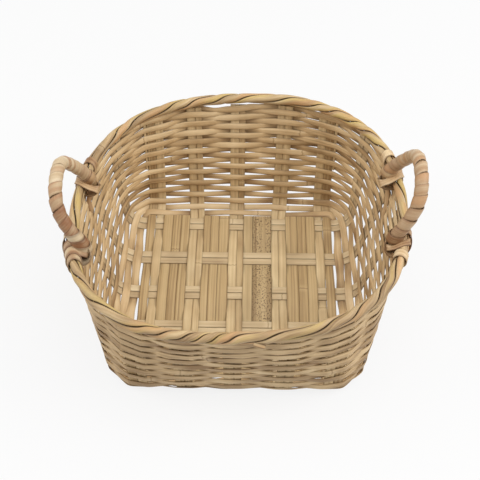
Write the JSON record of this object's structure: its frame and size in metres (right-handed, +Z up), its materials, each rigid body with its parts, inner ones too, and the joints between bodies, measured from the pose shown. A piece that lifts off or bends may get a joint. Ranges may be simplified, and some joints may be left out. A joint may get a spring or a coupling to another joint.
{
  "type": "woven basket",
  "caption": "Square-bottomed, round-mouthed basket woven of split bamboo, with a twisted rim and an upright wrapped loop handle at each side.",
  "frame": {"origin": "on the table, under the centre stake of the floor, at the middle of the basket's box in plan", "axes": "+X towards the right handle, +Y towards the back wall, +Z up"},
  "size_m": [0.3082, 0.2852, 0.1741],
  "materials": {
    "stake_bamboo": "split bamboo, matt",
    "band_bamboo": "split bamboo skin, slight sheen",
    "panel_bamboo": "split bamboo, coarse grain, matt",
    "weaver_bamboo": "split bamboo strip, slight sheen",
    "rim_cane": "twisted cane strip, slight sheen",
    "handle_rod_cane": "bent cane, matt",
    "handle_wrap_cane": "flat cane peel, slight sheen",
    "lashing_cane": "flat cane peel, matt"
  },
  "bodies": {
    "root": {"corner_stake_1": "stake_bamboo", "corner_stake_2": "stake_bamboo", "corner_stake_3": "stake_bamboo", "corner_stake_4": "stake_bamboo", "cross_band_1_back": "band_bamboo", "cross_band_1_front": "band_bamboo", "cross_band_2_back": "band_bamboo", "cross_band_2_front": "band_bamboo", "cross_band_3_back": "band_bamboo", "cross_band_3_front": "band_bamboo", "cross_band_4_back": "band_bamboo", "cross_band_4_front": "band_bamboo", "cross_band_5_back": "band_bamboo", "cross_band_5_front": "band_bamboo", "floor_panel_1": "panel_bamboo", "floor_panel_2": "panel_bamboo", "floor_panel_3": "panel_bamboo", "floor_panel_4": "panel_bamboo", "floor_panel_5": "panel_bamboo", "floor_panel_6": "panel_bamboo", "floor_stake_1": "stake_bamboo", "floor_stake_2": "stake_bamboo", "floor_stake_3": "stake_bamboo", "floor_stake_4": "stake_bamboo", "floor_stake_5": "stake_bamboo", "foot_lashing_left_far": "lashing_cane", "foot_lashing_left_near": "lashing_cane", "foot_lashing_right_far": "lashing_cane", "foot_lashing_right_near": "lashing_cane", "handle_rod_left": "handle_rod_cane", "handle_rod_right": "handle_rod_cane", "handle_wrap_left": "handle_wrap_cane", "handle_wrap_right": "handle_wrap_cane", "rim_band_left_far": "lashing_cane", "rim_band_right_far": "lashing_cane", "rim_band_right_near": "lashing_cane", "rim_strand_1": "rim_cane", "rim_strand_2": "rim_cane", "rim_strand_3": "rim_cane", "weaver_row_01": "weaver_bamboo", "weaver_row_02": "weaver_bamboo", "weaver_row_03": "weaver_bamboo", "weaver_row_04": "weaver_bamboo", "weaver_row_05": "weaver_bamboo", "weaver_row_06": "weaver_bamboo", "weaver_row_07": "weaver_bamboo", "weaver_row_08": "weaver_bamboo", "weaver_row_09": "weaver_bamboo", "weaver_row_10": "weaver_bamboo", "weaver_row_11": "weaver_bamboo", "weaver_row_12": "weaver_bamboo", "weaver_row_13": "weaver_bamboo", "weaver_row_14": "weaver_bamboo", "weaver_row_15": "weaver_bamboo", "weaver_row_16": "weaver_bamboo", "weaver_row_17": "weaver_bamboo", "weaver_row_18": "weaver_bamboo", "weaver_row_19": "weaver_bamboo", "weaver_row_20": "weaver_bamboo", "weaver_row_21": "weaver_bamboo"}
  },
  "joints": []
}
